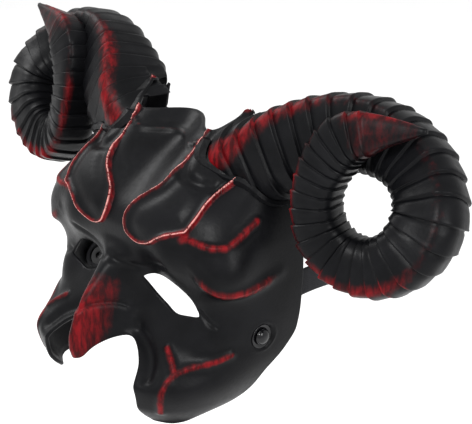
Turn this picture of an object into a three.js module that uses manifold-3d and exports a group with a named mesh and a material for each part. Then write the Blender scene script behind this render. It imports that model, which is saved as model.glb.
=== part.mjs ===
// Ram-horned devil half-mask, built in millimetres, +Z up, face towards -Y, wearer's left on +X.
// Shapes are drawn about the middle of the head and then moved so that the flat rear face of the
// forehead pad, where the mask rests on the wearer, holds the origin.
import * as THREE from 'three';
import Module from 'manifold-3d';

const wasm = await Module();
wasm.setup();

const REST = [0, -82, 25];          // middle of the pad's rear face in drawing coordinates
const SHELL = 3;                    // wall of the moulded mask
const GAP = 0.3, FIT = 0.8, INNER_GAP = 0.9;   // clearances: round fittings, on the shell, behind the shell
const TOP = 80, BOTTOM = -93;       // heights of the shell's upper and lower edges
const ROWS = 20, COLS = 30;         // facets up and across the shell

// Level sections of the mask: height, half width, foremost y, rear edge y, squareness.
const LEVELS = [
  [-94, 62, -117, -98, 3], [-88, 70, -125, -69, 3], [-80, 76, -130, -58, 3], [-68, 82, -131, -51, 3],
  [-55, 86, -118, -38, 3], [-42, 88, -106, -29, 3], [-25, 89.5, -100, -27, 3], [0, 90, -100, -26, 3],
  [20, 90, -101, -26, 3.3], [32, 89, -97, -22, 3.3], [50, 85, -84, -12, 3.2], [68, 79, -67, -8, 3.2],
  [80, 73, -51, -6, 3], [92, 64, -26, -4, 3]];
// Middle of the face, beak below and valley above: height, how far it stands forward, half width.
const NOSE = [
  [-64, 6, 9], [-58, 17, 9.5], [-53, 24, 10], [-42, 33, 10.5], [-31, 34, 10.5], [-20, 27, 11], [-6, 15, 11],
  [3, 7, 12], [12, 0, 12], [28, 0, 14], [40, -5, 15], [52, -12, 16], [66, -20, 18], [80, -17, 20], [92, -9, 22]];
// Swellings and hollows on each half: x, y, z, reach, height.
const RELIEF = [
  [77, -80, 7, 17, 12],             // brow boss
  [46, -98, 9, 15, 5],              // brow over the eye
  [36, -97, -15, 17, -9],           // eye socket
  [56, -91, -22, 13, -5],           // outer corner of the socket
  [68, -84, -34, 17, 5],            // cheekbone
  [58, -110, -66, 16, 3],           // jowl
  [60, -66, 64, 17, -8]];           // socket of the horn root

// Eye hole and the right half of the mouth opening, seen from the front: x, z.
const EYE = [
  [20, -9.5], [28, -5.5], [38, -5], [48, -8], [57, -14.5], [64, -23], [62, -25.5], [54, -27], [45, -27.5],
  [36, -25], [28, -20.5], [22, -14]];
const MOUTH = [
  [0, -60], [5, -58], [9, -51], [14, -47], [21, -45.5], [30, -49], [38, -55], [44, -63], [46.5, -72],
  [46, -82], [46.5, -89], [51, -99]];

// Ram horn. Middle of each station x, y, z, half size away from the coil's axis, half size along it,
// and where the keel lies, in degrees from straight outwards towards the front.
const COIL = [147, -38, 57], COIL_AXIS = [0.281, -0.917, 0.284];
const HORN = [
  [28, -38, 42, 30, 22, 60], [49, -35, 55, 29, 24.5, 58], [71, -30, 67, 26.5, 26, 50],
  [91, -22, 79, 25, 23, 42], [114, -13, 89.5, 22.5, 19, 42], [135.5, -8, 90.5, 21.5, 16.5, 48],
  [158, -8.5, 85, 20.5, 15.5, 56], [176, -14, 73.5, 20, 15.5, 62], [185, -23, 57.5, 20.5, 16, 64],
  [178, -31, 38, 18.5, 16, 60], [160, -36, 25, 17, 15.5, 52], [139, -40.5, 25, 15.5, 15, 45],
  [124.5, -43.5, 36.5, 14, 15, 42], [118.5, -43.5, 53.5, 12.5, 14.5, 40], [119, -41, 69, 13, 13.5, 40],
  [123.5, -37.5, 82.5, 14.5, 12.5, 40], [132.5, -34, 95, 14.5, 11, 38], [146, -30, 101.5, 11.5, 8.5, 35],
  [160, -27.5, 105.5, 7.5, 5.5, 30], [181, -24, 110.5, 1.3, 1.3, 0]];
const SEGMENTS = 27, STEP = 1.2;    // overlapping growth rings and the height of each step
const SEAT = 3.4;                   // thickness of the raised seat round the horn root
const SEAT_LIP = 3;                 // how far the seat stands outside the horn
const PLATE = 2.2;                  // backing plate inside the shell
const SCREWS = [[0.7, 62], [0.88, 58]];   // place on the shell: fraction of the half section, height
const SCREW_HOLE = 1.9, SCREW_SHANK = 1.6, SCREW_HEAD = 3.4;

const RIVET = [86.4, -57, -40];     // where the rivet crosses the shell's outer face
const CAP_RADIUS = 5.25, POST = 2.2, RING_RADIUS = 7.9, SEAT_FACE = 85.1;
const TAB_X = 80;                   // middle of the strap tab inside the cheek
const STRAP_WIDTH = 18, STRAP_THICK = 1.6;
// Middle line of one strap half, from the rivet to the back of the head.
const STRAP = [
  [80, -57, -40], [80.2, -47, -30], [81, -36, -21], [82.5, -22, -16.5], [84, 0, -15.5], [83.5, 30, -19],
  [76, 64, -29], [60, 89, -44], [45, 102, -54], [34, 106, -57], [26, 106, -57], [16, 106, -57],
  [6, 106, -57], [-6, 106, -57], [-16, 106, -57], [-26, 106, -57]];
const STRAP_BACK = [106, -57];       // y and height of the strap behind the head
const LAYER = 2;                    // the outer strap half lies this much further back
const PAD = { wide: 66, low: 12, high: 38 };

// ---------------------------------------------------------------- curves and surfaces
const sub = (a, b) => a.map((v, i) => v - b[i]);
const dot = (a, b) => a[0] * b[0] + a[1] * b[1] + a[2] * b[2];
const cross = (a, b) => [a[1] * b[2] - a[2] * b[1], a[2] * b[0] - a[0] * b[2], a[0] * b[1] - a[1] * b[0]];
const unit = (a) => { const l = Math.hypot(...a) || 1; return a.map((v) => v / l); };
const along = (a, d, k) => a.map((v, i) => v + d[i] * k);
const flip = (p) => [-p[0], p[1], p[2]];

// Values of a keyed table at t: first column is the key, slopes never overshoot.
function keyed(table, t) {
  const n = table.length, x = table.map((r) => r[0]);
  t = Math.min(Math.max(t, x[0]), x[n - 1]);
  let i = 0;
  while (i < n - 2 && t > x[i + 1]) i++;
  const slope = (k, c) => (table[k + 1][c] - table[k][c]) / (x[k + 1] - x[k]);
  const tangent = (k, c) => {
    if (k === 0) return slope(0, c);
    if (k === n - 1) return slope(n - 2, c);
    const a = slope(k - 1, c), b = slope(k, c);
    return a * b > 0 ? (2 * a * b) / (a + b) : 0;
  };
  const h = x[i + 1] - x[i], u = (t - x[i]) / h;
  return table[0].slice(1).map((_, j) => {
    const c = j + 1;
    return (2 * u ** 3 - 3 * u ** 2 + 1) * table[i][c] + (u ** 3 - 2 * u ** 2 + u) * h * tangent(i, c)
      + (3 * u ** 2 - 2 * u ** 3) * table[i + 1][c] + (u ** 3 - u ** 2) * h * tangent(i + 1, c);
  });
}

// Level section of the plain mask at height z, evenly spaced from the middle to the rear edge.
const sectionCache = new Map();
function section(z) {
  const key = z.toFixed(4);
  if (sectionCache.has(key)) return sectionCache.get(key);
  const [w, front, rear, p] = keyed(LEVELS, z);
  const pts = [];
  for (let k = 0; k <= 120; k++) {
    const a = (k / 120) * Math.PI / 2, r = (Math.sin(a) ** p + Math.cos(a) ** p) ** (-1 / p);
    pts.push([w * Math.sin(a) * r, rear + (front - rear) * Math.cos(a) * r]);
  }
  const run = [0];
  for (let k = 1; k <= 120; k++) run.push(run[k - 1] + Math.hypot(pts[k][0] - pts[k - 1][0], pts[k][1] - pts[k - 1][1]));
  sectionCache.set(key, { pts, run });
  return sectionCache.get(key);
}

function plain(f, z) {
  const { pts, run } = section(z), want = Math.abs(f) * run[120];
  let k = 0;
  while (k < 119 && run[k + 1] < want) k++;
  const u = (want - run[k]) / (run[k + 1] - run[k]);
  const at = (c) => pts[k][c] + (pts[k + 1][c] - pts[k][c]) * u;
  return [Math.sign(f) * at(0), at(1), z];
}

// Direction out of a surface given as a function of (f, z).
function outward(surface, f, z) {
  const a = surface(Math.min(f + 0.01, 1), z), b = surface(Math.max(f - 0.01, -1), z);
  const up = surface(f, Math.min(z + 1, 92)), down = surface(f, Math.max(z - 1, -94));
  return unit(cross(sub(a, b), sub(up, down)));
}

function face(f, z) {
  const p = plain(f, z), n = outward(plain, f, z);
  let push = 0;
  for (const [x, y, h, reach, height] of RELIEF) {
    const d2 = (Math.abs(p[0]) - x) ** 2 + (p[1] - y) ** 2 + (p[2] - h) ** 2;
    push += height * Math.exp(-d2 / reach ** 2);
  }
  const [stand, half] = keyed(NOSE, z);
  const q = along(p, n, push);
  q[1] -= stand * Math.exp(-((Math.abs(p[0]) / half) ** 2.2));
  return q;
}

// Place across the mask of column j, closer together over the nose.
function column(j) {
  const t = -1 + 2 * j / COLS;
  return t * (0.55 + 0.45 * t * t);
}

// Point on the mask moved out by `off` along the surface.
const faceOff = (f, z, off) => (off ? along(face(f, z), outward(face, f, z), off) : face(f, z));

// ---------------------------------------------------------------- solids
function solid(points, triangles) {
  const mesh = new wasm.Mesh({
    numProp: 3, vertProperties: new Float32Array(points.flat()), triVerts: new Uint32Array(triangles.flat()) });
  mesh.merge();
  const body = new wasm.Manifold(mesh);
  return body.volume() < 0 ? new wasm.Manifold(new wasm.Mesh({
    numProp: 3, vertProperties: new Float32Array(points.flat()),
    triVerts: new Uint32Array(triangles.flatMap(([a, b, c]) => [a, c, b])) })) : body;
}

// Closed skin through equal rings of points, both ends capped.
function loft(rings) {
  const n = rings[0].length, pts = rings.flat(), tris = [];
  for (let i = 0; i + 1 < rings.length; i++) {
    for (let j = 0; j < n; j++) {
      const a = i * n + j, b = i * n + (j + 1) % n;
      tris.push([a, b, b + n], [a, b + n, a + n]);
    }
  }
  for (const [row, turn] of [[0, true], [rings.length - 1, false]]) {
    const middle = [0, 1, 2].map((c) => rings[row].reduce((s, p) => s + p[c], 0) / n);
    pts.push(middle);
    for (let j = 0; j < n; j++) {
      const a = row * n + j, b = row * n + (j + 1) % n;
      tris.push(turn ? [b, a, pts.length - 1] : [a, b, pts.length - 1]);
    }
  }
  return solid(pts, tris);
}

// Turned piece about the line through `at` along `axis`; profile is [radius, distance] from axis to axis.
function turned(profile, at, axis, around = 16) {
  const t = unit(axis), side = unit(cross(t, Math.abs(t[2]) < 0.9 ? [0, 0, 1] : [1, 0, 0])), other = cross(t, side);
  const rings = profile.map(([r, d]) => Array.from({ length: around }, (_, k) => {
    const a = (k / around) * 2 * Math.PI;
    return along(along(along(at, t, d), side, Math.cos(a) * r), other, Math.sin(a) * r);
  }));
  return loft(rings);
}

const rod = (radius, from, to, around = 16) =>
  turned([[radius, 0], [radius, Math.hypot(...sub(to, from))]], from, sub(to, from), around);

// Upright-face outline (x, z) run through from y0 to y1.
function punch(outline, y0, y1) {
  return loft([y0, y1].map((y) => outline.map(([x, z]) => [x, y, z])));
}

// Everything inside the mask's outer face moved out by `off`, closed flat just behind the rear edges.
const blockCache = new Map();
function block(off) {
  if (blockCache.has(off)) return blockCache.get(off);
  const rows = ROWS, cols = COLS, rings = [], behind = off > 0 ? 1.5 : 0;
  const level = (z, drop) => {
    const ring = Array.from({ length: cols + 1 }, (_, j) => faceOff(column(j), z, off));
    for (const [end, put] of [[ring[0], 'unshift'], [ring[cols], 'push']]) ring[put]([end[0], end[1] + behind + 0.01, end[2]]);
    return drop ? ring.map(([x, y, h]) => [x, y, h + drop]) : ring;
  };
  for (let i = 0; i <= rows; i++) rings.push(level(BOTTOM + (TOP - BOTTOM) * i / rows, 0));
  if (off > 0) rings.push(level(TOP, 0.6));
  blockCache.set(off, loft(rings));
  return blockCache.get(off);
}

const box = (lo, hi) => wasm.Manifold.cube(sub(hi, lo)).translate(lo);
const mirrorX = (body) => body.mirror([1, 0, 0]);

// ---------------------------------------------------------------- mask shell
function shellBlank() {
  const rows = ROWS, cols = COLS, outer = [], inner = [];
  for (let i = 0; i <= rows; i++) {
    const z = BOTTOM + (TOP - BOTTOM) * i / rows;
    for (let j = 0; j <= cols; j++) {
      const f = column(j);
      outer.push(faceOff(f, z, 0));
      inner.push(faceOff(f, z, -SHELL));
    }
  }
  const w = cols + 1, total = outer.length, tris = [];
  for (let i = 0; i < rows; i++) {
    for (let j = 0; j < cols; j++) {
      const a = i * w + j, b = a + 1, c = b + w, d = a + w;
      tris.push([a, b, c], [a, c, d], [total + a, total + c, total + b], [total + a, total + d, total + c]);
    }
  }
  const wall = (a, b) => tris.push([a, total + b, b], [a, total + a, total + b]);
  for (let j = 0; j < cols; j++) { wall(j, j + 1); wall(rows * w + j + 1, rows * w + j); }
  for (let i = 0; i < rows; i++) { wall((i + 1) * w, i * w); wall(i * w + cols, (i + 1) * w + cols); }
  return solid([...outer, ...inner], tris);
}

const eyeHole = punch(EYE, -150, -60);
const mouthHole = punch([...MOUTH, ...MOUTH.slice(1).reverse().map(([x, z]) => [-x, z])], -160, -60);

function screwLine([f, z]) {
  return { at: face(f, z), out: outward(face, f, z) };
}

function screwHole(place) {
  const { at, out } = screwLine(place);
  return rod(SCREW_HOLE, along(at, out, -9), along(at, out, 9));
}

function rivetCut() {
  const [, y, z] = RIVET;
  return rod(POST + GAP, [70, y, z], [95, y, z]).add(rod(RING_RADIUS + GAP, [SEAT_FACE, y, z], [95, y, z], 28));
}

function maskShell() {
  const half = SCREWS.reduce((s, p) => s.add(screwHole(p)), eyeHole.add(rivetCut()));
  return shellBlank().subtract(mouthHole).subtract(half).subtract(mirrorX(half));
}

// ---------------------------------------------------------------- horn and what holds it
const AXIS = unit(COIL_AXIS);
const hornRun = HORN.reduce((s, p, i) => [...s, i ? s[i - 1] + Math.hypot(...sub(p.slice(0, 3), HORN[i - 1].slice(0, 3))) : 0], []);
const hornCurve = HORN.map((p, i) => [hornRun[i], ...p]);
const HORN_LENGTH = hornRun[HORN.length - 1];

// Smooth value of the horn's stations at distance s.
function hornAt(s) {
  const n = HORN.length;
  let i = 0;
  while (i < n - 2 && s > hornRun[i + 1]) i++;
  const h = hornRun[i + 1] - hornRun[i], u = (s - hornRun[i]) / h;
  const tangent = (k, c) => {
    const a = Math.max(k - 1, 0), b = Math.min(k + 1, n - 1);
    return (hornCurve[b][c] - hornCurve[a][c]) / (hornRun[b] - hornRun[a]);
  };
  return HORN[0].map((_, j) => {
    const c = j + 1;
    return (2 * u ** 3 - 3 * u ** 2 + 1) * hornCurve[i][c] + (u ** 3 - 2 * u ** 2 + u) * h * tangent(i, c)
      + (3 * u ** 2 - 2 * u ** 3) * hornCurve[i + 1][c] + (u ** 3 - u ** 2) * h * tangent(i + 1, c);
  });
}

// Ring of the horn at distance s, grown by `grow`; one corner of it is the keel, a blunt ridge.
function hornRing(s, grow, around = 12) {
  const k = hornAt(s), at = k.slice(0, 3);
  const ahead = hornAt(Math.min(s + 1, HORN_LENGTH)).slice(0, 3), behind = hornAt(Math.max(s - 1, 0)).slice(0, 3);
  const t = unit(sub(ahead, behind));
  let out = sub(at, COIL);
  out = along(out, AXIS, -dot(out, AXIS));
  out = unit(along(out, t, -dot(out, t)));
  let side = cross(t, out);
  if (dot(side, AXIS) < 0) side = side.map((v) => -v);
  return Array.from({ length: around }, (_, j) => {
    const a = k[5] * Math.PI / 180 + (j / around) * 2 * Math.PI, c = Math.cos(a), d = Math.sin(a), p = 3;
    const r = (Math.abs(c) ** p + Math.abs(d) ** p) ** (-1 / p) * (j === 0 ? 1.12 : 1);
    return along(along(at, out, c * r * (k[3] + grow)), side, d * r * (k[4] + grow));
  });
}

function hornBody(from, to, grow, stepped) {
  const rings = [], count = stepped ? SEGMENTS : 10;
  for (let i = 0; i < count; i++) {
    const a = from + (to - from) * i / count, b = from + (to - from) * (i + 1) / count;
    const lip = stepped && i > 3 && i < count - 5 ? STEP : 0;
    rings.push(hornRing(a, grow), hornRing(b - 0.4, grow + lip));
  }
  rings.push(hornRing(to, grow));
  return loft(rings);
}

// Room behind the shell's upper rear edge, which the horn root does not enter.
const behindShell = box([-20, -26, 0], [62, 70, 140]);

function horn() {
  const holes = SCREWS.map(screwHole).reduce((a, b) => a.add(b));
  const body = hornBody(0, HORN_LENGTH, 0, true).subtract(block(FIT)).subtract(holes).subtract(behindShell);
  return body.decompose().sort((a, b) => b.volume() - a.volume())[0];
}

// Raised seat moulded round the horn root, following the mask under it.
function hornSeat() {
  const ring = hornBody(0, 75, SEAT_LIP, false).intersect(block(SEAT)).subtract(block(FIT))
    .subtract(hornBody(0, HORN_LENGTH, GAP + 0.1, true));
  const open = ring.subtract(box([-20, -30, 0], [200, 60, 120]));
  return open.decompose().sort((a, b) => b.volume() - a.volume())[0];
}

function backingPlate() {
  const zone = box([46, -64, 46], [84, -14, 69]);
  const plate = zone.intersect(block(-SHELL - INNER_GAP)).subtract(block(-SHELL - INNER_GAP - PLATE));
  const body = plate.subtract(SCREWS.map(screwHole).reduce((a, b) => a.add(b)));
  return body.decompose().sort((a, b) => b.volume() - a.volume())[0];
}

function screw(place) {
  const { at, out } = screwLine(place), under = -(SHELL + INNER_GAP + PLATE + 1);
  const h = SCREW_HEAD, r = SCREW_SHANK;
  return turned([[0.6 * h, under - 2.2], [h, under - 1.4], [h, under], [r, under], [r, 7], [0.5, 8.5]], at, out, 12);
}

// ---------------------------------------------------------------- rivets
function rivetCap() {
  const [, y, z] = RIVET, r = CAP_RADIUS, p = POST;
  const profile = [[0.1, 4.4], [0.45 * r, 4.1], [0.8 * r, 3.1], [r, 1.5], [r, 1.3], [p, 1.3], [p, -8.6], [p - 0.5, -9]];
  return turned(profile, [SEAT_FACE, y, z], [1, 0, 0]);
}

function ringOf(inner, outer, from, to, around = 24) {
  const [, y, z] = RIVET;
  return rod(outer, [from, y, z], [to, y, z], around).subtract(rod(inner, [from - 1, y, z], [to + 1, y, z], around));
}

const rivetRing = () => ringOf(POST + GAP, RING_RADIUS, SEAT_FACE + 0.2, SEAT_FACE + 1);
const rivetWasher = () => ringOf(POST + GAP, 6.5, TAB_X - STRAP_THICK / 2 - 1.6, TAB_X - STRAP_THICK / 2 - 0.3, 24);

// ---------------------------------------------------------------- strap
function strapHalf(layer) {
  const line = new THREE.CatmullRomCurve3(STRAP.map(([x, y, z]) => {
    const back = Math.min(Math.max((60 - x) / 20, 0), 1);
    return new THREE.Vector3(x, y + layer * back * back * (3 - 2 * back), z);
  }), false, 'centripetal');
  const count = 36, rings = [];
  for (let i = 0; i <= count; i++) {
    const p = line.getPointAt(i / count).toArray(), t = line.getTangentAt(i / count).toArray();
    const flat = unit([t[1], -t[0], 0]);
    const n = i < 4 ? [1, 0, 0] : flat.map((v, c) => (i < 9 ? v * (i - 4) / 5 + [1, 0, 0][c] * (9 - i) / 5 : v));
    const thick = unit(n), wide = unit(cross(t, thick)), w = STRAP_WIDTH / 2, h = STRAP_THICK / 2;
    rings.push([[1, 1], [1, -1], [-1, -1], [-1, 1]].map(([a, b]) => along(along(p, thick, a * h), wide, b * w)));
  }
  const [, y, z] = RIVET, h = STRAP_THICK / 2;
  const eye = rod(STRAP_WIDTH / 2, [TAB_X - h, y, z], [TAB_X + h, y, z], 28);
  return loft(rings).add(eye).subtract(rod(POST + GAP, [70, y, z], [90, y, z]));
}

// Flat loop round both strap layers, x from a to b; bars lie outside and inside the webbing.
function strapLoop(a, b, rail, bars) {
  const [y, z] = STRAP_BACK, gap = STRAP_THICK / 2 + 0.35, w = STRAP_WIDTH / 2 + 0.5;
  const y0 = y - gap, y1 = y + LAYER + gap;
  const frame = [[w, w + rail], [-w - rail, -w]].map(([lo, hi]) => box([a, y0 - 1.6, z + lo], [b, y1 + 1.6, z + hi]));
  const rungs = bars.map(([from, to, outer]) =>
    box([from, outer ? y1 : y0 - 1.6, z - w - rail], [to, outer ? y1 + 1.6 : y0, z + w + rail]));
  return [...frame, ...rungs].reduce((p, q) => p.add(q));
}

const strapSlider = () => strapLoop(-25, -5, 2.4, [[-25, -21.5, false], [-8.5, -5, false], [-17, -13, true]]);
const strapKeeper = () => strapLoop(8, 16, 1.6, [[8, 16, false], [8, 16, true]]);

// ---------------------------------------------------------------- pads
function foreheadPad() {
  const room = box([-PAD.wide / 2, -120, PAD.low], [PAD.wide / 2, REST[1], PAD.high]);
  return room.intersect(block(-SHELL - INNER_GAP));
}

function cheekPad() {
  const room = box([50, -130, -66], [80, -76, -42]);
  const body = room.intersect(block(-SHELL - 1.5)).subtract(block(-SHELL - 7.5));
  return body.decompose().sort((a, b) => b.volume() - a.volume())[0];
}

// ---------------------------------------------------------------- assembly
const LOOK = {
  mask: { color: 0x232326, roughness: 0.5 }, horn: { color: 0x1f1f22, roughness: 0.45 },
  seat: { color: 0x26262a, roughness: 0.5 }, metal: { color: 0x8a8d92, metalness: 1, roughness: 0.35 },
  cap: { color: 0x17181a, metalness: 0.4, roughness: 0.25 }, web: { color: 0x111113, roughness: 0.9 },
  plastic: { color: 0x18181a, roughness: 0.4 }, foam: { color: 0x2b2b2d, roughness: 1 } };

const group = new THREE.Group();
group.name = 'devil_mask';

function place(name, body, look) {
  const { vertProperties, triVerts, numProp } = body.translate(REST.map((v) => -v)).getMesh();
  const points = new Float32Array(triVerts.length * 3);
  triVerts.forEach((v, i) => { for (let c = 0; c < 3; c++) points[i * 3 + c] = vertProperties[v * numProp + c]; });
  const geometry = new THREE.BufferGeometry();
  geometry.setAttribute('position', new THREE.BufferAttribute(points, 3));
  geometry.computeVertexNormals();
  const mesh = new THREE.Mesh(geometry, new THREE.MeshStandardMaterial(LOOK[look]));
  mesh.name = name;
  group.add(mesh);
}

function placePair(name, body, look) {
  place(`${name}_left`, body, look);
  place(`${name}_right`, mirrorX(body), look);
}

place('mask_shell', maskShell(), 'mask');
placePair('horn', horn(), 'horn');
placePair('horn_seat', hornSeat(), 'seat');
placePair('horn_backing_plate', backingPlate(), 'plastic');
placePair('horn_screw_front', screw(SCREWS[0]), 'metal');
placePair('horn_screw_rear', screw(SCREWS[1]), 'metal');
placePair('rivet_cap', rivetCap(), 'cap');
placePair('rivet_ring', rivetRing(), 'cap');
placePair('rivet_washer', rivetWasher(), 'plastic');
place('strap_left', strapHalf(0), 'web');
place('strap_right', mirrorX(strapHalf(LAYER)), 'web');
place('strap_slider', strapSlider(), 'plastic');
place('strap_keeper', strapKeeper(), 'plastic');
place('forehead_pad', foreheadPad(), 'foam');
placePair('cheek_pad', cheekPad(), 'foam');

export default group;
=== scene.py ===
"""Ram-horned devil half-mask: black satin moulding with dark red brushed on its raised edges.

Shapes are drawn in millimetres about the middle of the head (+X wearer's left, -Y the way the
face looks, +Z up) and moved to the part's frame in metres by to_part().
"""
import math
import bmesh
import bpy
import numpy as np
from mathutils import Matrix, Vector, kdtree
from mathutils.geometry import delaunay_2d_cdt


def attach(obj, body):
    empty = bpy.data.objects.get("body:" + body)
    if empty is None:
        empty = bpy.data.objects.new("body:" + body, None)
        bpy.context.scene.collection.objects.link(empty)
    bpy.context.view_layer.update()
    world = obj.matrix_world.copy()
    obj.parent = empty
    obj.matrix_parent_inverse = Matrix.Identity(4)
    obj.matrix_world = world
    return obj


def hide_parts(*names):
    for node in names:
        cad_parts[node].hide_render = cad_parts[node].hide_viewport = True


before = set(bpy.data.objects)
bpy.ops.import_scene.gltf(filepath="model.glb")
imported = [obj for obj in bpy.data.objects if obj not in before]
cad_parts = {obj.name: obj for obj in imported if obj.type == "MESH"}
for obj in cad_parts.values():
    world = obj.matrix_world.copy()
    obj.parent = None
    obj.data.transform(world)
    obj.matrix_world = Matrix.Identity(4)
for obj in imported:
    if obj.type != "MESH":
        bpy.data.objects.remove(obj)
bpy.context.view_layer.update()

REST = np.array([0.0, -82.0, 25.0])     # middle of the forehead pad's rear face
SHELL = 3.0                             # wall of the mask
BOTTOM = -93.0                          # height of the cheek tips
UNROLLED = 140.0                        # half width of the mask laid flat

# Level sections of the mask: height, half width, foremost y, rear edge y, squareness.
LEVELS = np.array([
    [-94, 62, -117, -98, 3], [-88, 70, -125, -69, 3], [-80, 76, -130, -58, 3], [-68, 82, -131, -51, 3],
    [-55, 86, -118, -38, 3], [-42, 88, -106, -29, 3], [-25, 89.5, -100, -27, 3], [0, 90, -100, -26, 3],
    [20, 90, -101, -26, 3.3], [32, 89, -97, -22, 3.3], [50, 85, -84, -12, 3.2], [68, 79, -67, -8, 3.2],
    [80, 73, -51, -6, 3], [92, 64, -26, -4, 3]])
# Beak below and valley above: height, how far it stands forward, half width.
NOSE = np.array([
    [-64, 6, 9], [-58, 17, 9.5], [-53, 24, 10], [-42, 33, 10.5], [-31, 34, 10.5], [-20, 27, 11], [-6, 15, 11],
    [3, 7, 12], [12, 0, 12], [28, 0, 14], [40, -5, 15], [52, -12, 16], [66, -20, 18], [80, -17, 20],
    [92, -9, 22]])
# Swellings and hollows on each half: x, y, z, reach, height.
RELIEF = [
    (77, -80, 7, 17, 12), (46, -98, 9, 15, 5), (36, -97, -15, 17, -9), (56, -91, -22, 13, -5),
    (68, -84, -34, 17, 5), (58, -110, -66, 16, 3), (60, -66, 64, 17, -8)]

# Outlines seen from the front: x, z.
EYE = [(20, -9.5), (28, -5.5), (38, -5), (48, -8), (57, -14.5), (64, -23), (62, -25.5), (54, -27),
       (45, -27.5), (36, -25), (28, -20.5), (22, -14)]
MOUTH = [(0, -60), (5, -58), (9, -51), (14, -47), (21, -45.5), (30, -49), (38, -55), (44, -63),
         (46.5, -72), (46, -82), (46.5, -89), (48.5, -93)]
CROWN = [(66, 79), (60, 79), (54, 82), (50, 86), (46, 89.5), (42, 84), (38, 80), (33, 78), (24, 78.5),
         (12, 79.5), (0, 80)]

# Lines on each half. Seen from the front (x, z):
TONGUE = [(46, 89), (36, 85), (33, 80), (31.5, 73), (30, 62), (27, 51), (20, 44), (13, 38), (9, 32),
          (8.5, 26), (12.5, 19), (22, 15.5), (34, 18.5), (46, 25), (58.5, 29.5)]
BRANCH = [(58.5, 29.5), (61, 38), (61, 47), (62, 54), (65, 60)]
# and by distance round the mask from the middle (s, z):
TEMPLE = [(57, 28), (69, 25), (79, 24), (87, 26), (98, 37)]
CRESCENT = [(65, 11), (73, 2), (81, -3), (91, -4), (103, -3), (119, 1)]
CHEEK = [[(52, -46), (61, -53), (66, -58)], [(66, -58), (72, -54), (85, -50), (92, -47)],
         [(66, -58), (65, -64), (64, -70), (62, -81)]]
NOSTRIL = [(1, -28), (5, -25), (10, -26), (14, -29)]
SMILE = [(24, -42), (36, -47), (45, -53), (51, -61)]
CORNER = [(67, -21), (72, -25), (77, -28)]
BROW_FOLD = [(1, 2), (10, -1), (21, -3), (43, 6)]
SOCKET = [(34, 74), (32, 64), (37, 57), (48, 54), (55, 55)]
PANEL_TOP = [(-35, 75), (-24, 70), (-9, 69), (7, 69), (24, 70), (35, 75)]

RIVET = (86.4, -57.0, -40.0)            # where the rivet crosses the shell's outer face
SEAT_FACE, RECESS = 85.1, 8.2           # flat round recess under the snap cap

# ---------------------------------------------------------------- curves and surfaces


def to_part(points):
    """Drawing millimetres to metres in the part's frame."""
    return (np.asarray(points, float) - REST) / 1000.0


def unit(v):
    return v / np.maximum(np.linalg.norm(v, axis=-1, keepdims=True), 1e-9)


def keyed(table, t):
    """Columns of a keyed table at t, with slopes that never overshoot."""
    keys, rows = table[:, 0], table[:, 1:]
    slope = np.diff(rows, axis=0) / np.diff(keys)[:, None]
    tangent = np.zeros_like(rows)
    tangent[0], tangent[-1] = slope[0], slope[-1]
    a, b = slope[:-1], slope[1:]
    tangent[1:-1] = np.where(a * b > 0, 2 * a * b / np.where(a * b > 0, a + b, 1), 0)
    t = np.clip(t, keys[0], keys[-1])
    i = np.clip(np.searchsorted(keys, t) - 1, 0, len(keys) - 2)
    h = (keys[i + 1] - keys[i])[..., None]
    u = (t[..., None] - keys[i][..., None]) / h
    value = ((2 * u**3 - 3 * u**2 + 1) * rows[i] + (u**3 - 2 * u**2 + u) * h * tangent[i]
             + (3 * u**2 - 2 * u**3) * rows[i + 1] + (u**3 - u**2) * h * tangent[i + 1])
    return np.moveaxis(value, -1, 0)


def section_table():
    """x and y of the plain mask on a grid of heights and of even steps round each level."""
    heights = np.linspace(-94, 92, 373)
    w, front, rear, p = keyed(LEVELS, heights)
    a = np.linspace(0, math.pi / 2, 161)
    r = (np.sin(a) ** p[:, None] + np.cos(a) ** p[:, None]) ** (-1 / p[:, None])
    x = w[:, None] * np.sin(a) * r
    y = rear[:, None] + (front - rear)[:, None] * np.cos(a) * r
    even_x, even_y, length = [], [], []
    for row_x, row_y in zip(x, y):
        run = np.r_[0, np.cumsum(np.hypot(np.diff(row_x), np.diff(row_y)))]
        want = np.linspace(0, run[-1], 281)
        even_x.append(np.interp(want, run, row_x))
        even_y.append(np.interp(want, run, row_y))
        length.append(run[-1])
    return np.array(even_x), np.array(even_y), heights, np.array(length)


SECTION_X, SECTION_Y, HEIGHTS, LENGTHS = section_table()


def plain(f, z):
    """Point of the plain mask at fraction f of the half section and height z."""
    f, z = np.broadcast_arrays(np.asarray(f, float), np.asarray(z, float))
    row = np.clip((z + 94) * 2, 0, 371.999)
    col = np.clip(np.abs(f) * 280, 0, 279.999)
    i, j = row.astype(int), col.astype(int)
    a, b = row - i, col - j

    def at(grid):
        low = grid[i, j] * (1 - b) + grid[i, j + 1] * b
        return low * (1 - a) + (grid[i + 1, j] * (1 - b) + grid[i + 1, j + 1] * b) * a
    return np.stack([np.sign(f) * at(SECTION_X), at(SECTION_Y), z], -1)


def outward(surface, f, z):
    """Unit direction out of a surface given as a function of f and z."""
    a, b = surface(np.minimum(f + 0.01, 1), z), surface(np.maximum(f - 0.01, -1), z)
    up, down = surface(f, np.minimum(z + 1, 92)), surface(f, np.maximum(z - 1, -94))
    return unit(np.cross(a - b, up - down))


def face(f, z):
    """Outer face of the mask with its brows, cheeks and nose."""
    p, n = plain(f, z), outward(plain, f, z)
    push = 0
    for x, y, h, reach, height in RELIEF:
        d2 = (np.abs(p[..., 0]) - x) ** 2 + (p[..., 1] - y) ** 2 + (p[..., 2] - h) ** 2
        push = push + height * np.exp(-d2 / reach**2)
    stand, half = keyed(NOSE, z)
    q = p + n * np.asarray(push)[..., None]
    q[..., 1] -= stand * np.exp(-((np.abs(p[..., 0]) / half) ** 2.2))
    return q


def face_off(f, z, off):
    return face(f, z) + outward(face, f, z) * np.asarray(off)[..., None]


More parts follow.
